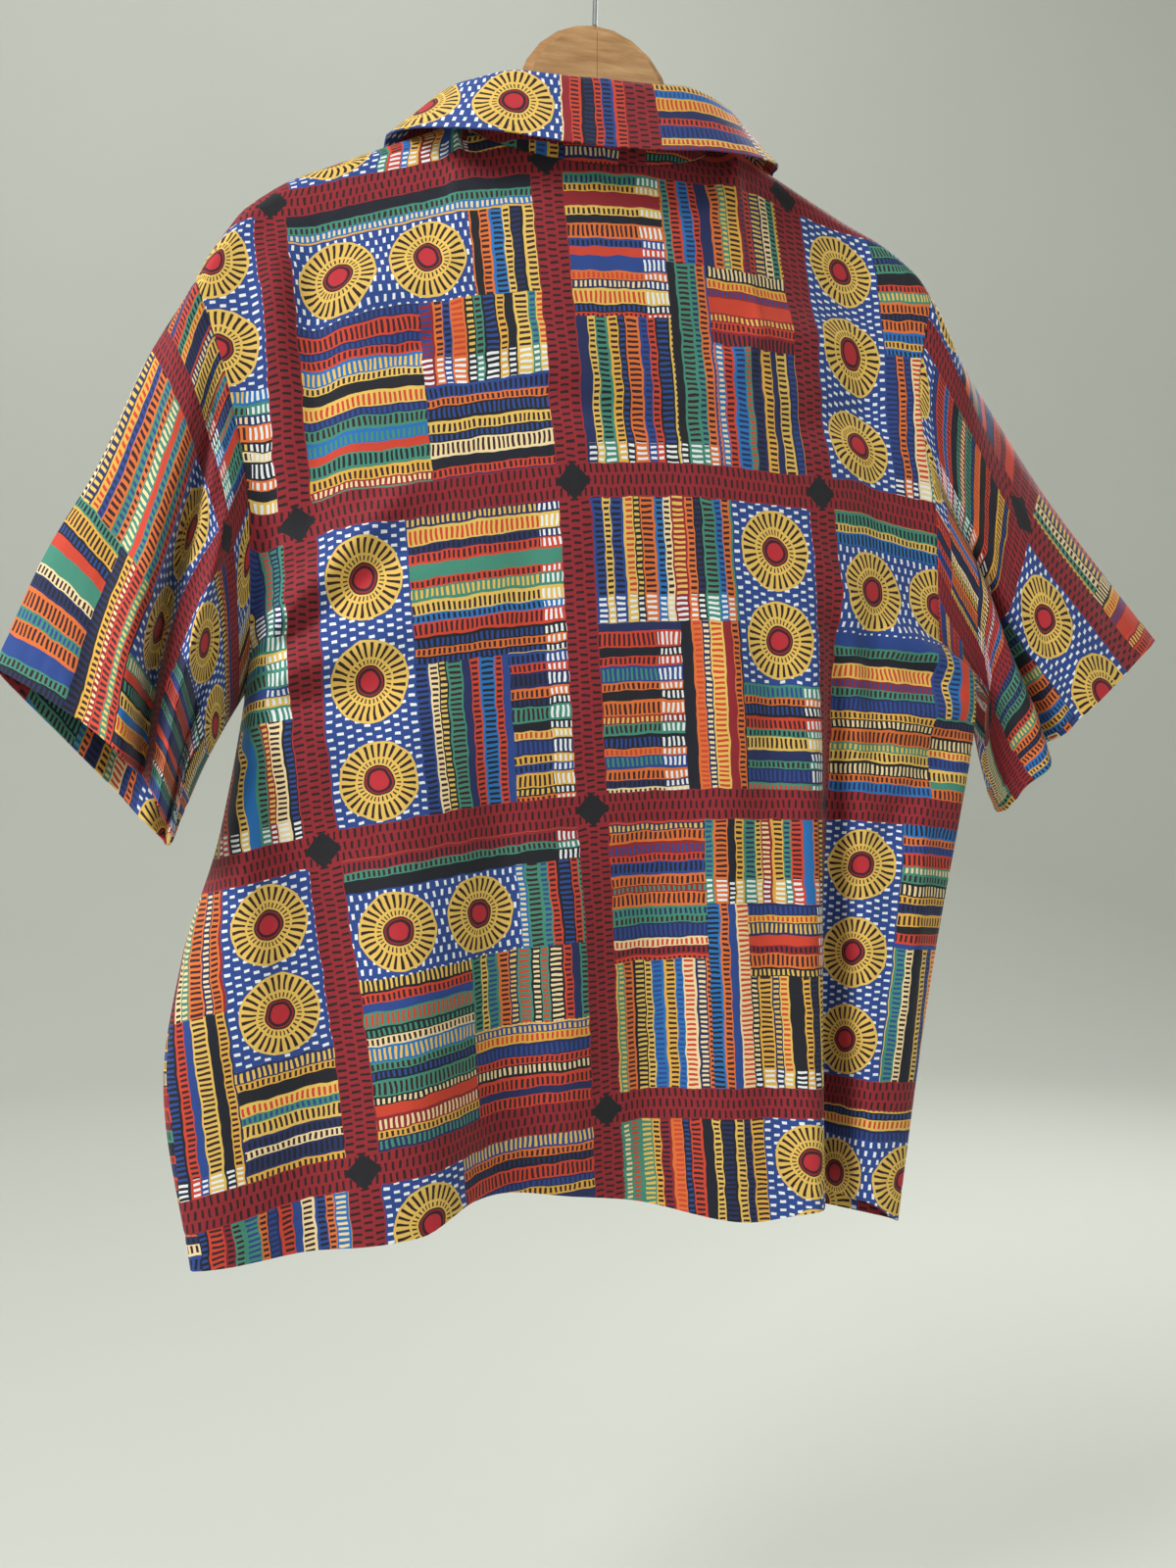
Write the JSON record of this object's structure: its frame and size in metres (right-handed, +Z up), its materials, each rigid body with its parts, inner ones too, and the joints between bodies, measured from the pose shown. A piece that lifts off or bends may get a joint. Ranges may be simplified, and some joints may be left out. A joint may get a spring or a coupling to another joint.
{
  "type": "african print shirt on wooden hanger",
  "caption": "Wide short-sleeved african print shirt with a turned-down collar and a buttoned front, hanging open and empty on a wooden hanger with a wire hook.",
  "frame": {"origin": "the inner top of the hook's bowl, where a rail carries the hanger", "axes": "+Z up, -Y towards the viewer of the shirt's back, +X towards the wearer's right"},
  "size_m": [0.8776, 0.157, 0.9454],
  "materials": {
    "print_back": "printed cotton, many-coloured on dark red",
    "print_front": "printed cotton, many-coloured on dark red",
    "print_sleeve": "printed cotton, many-coloured on dark red",
    "print_collar": "printed cotton, blue",
    "button_navy": "satin",
    "pale_wood": "clear satin varnish",
    "steel_wire": "drawn wire"
  },
  "bodies": {
    "root": {"back": "print_back", "front_left": "print_front", "front_right": "print_front", "sleeve_left": "print_sleeve", "sleeve_right": "print_sleeve", "collar": "print_collar", "button_1": "button_navy", "button_2": "button_navy", "button_3": "button_navy", "button_4": "button_navy", "button_5": "button_navy", "hanger_half_left": "pale_wood", "hanger_half_right": "pale_wood", "hanger_hook": "steel_wire"}
  },
  "joints": []
}
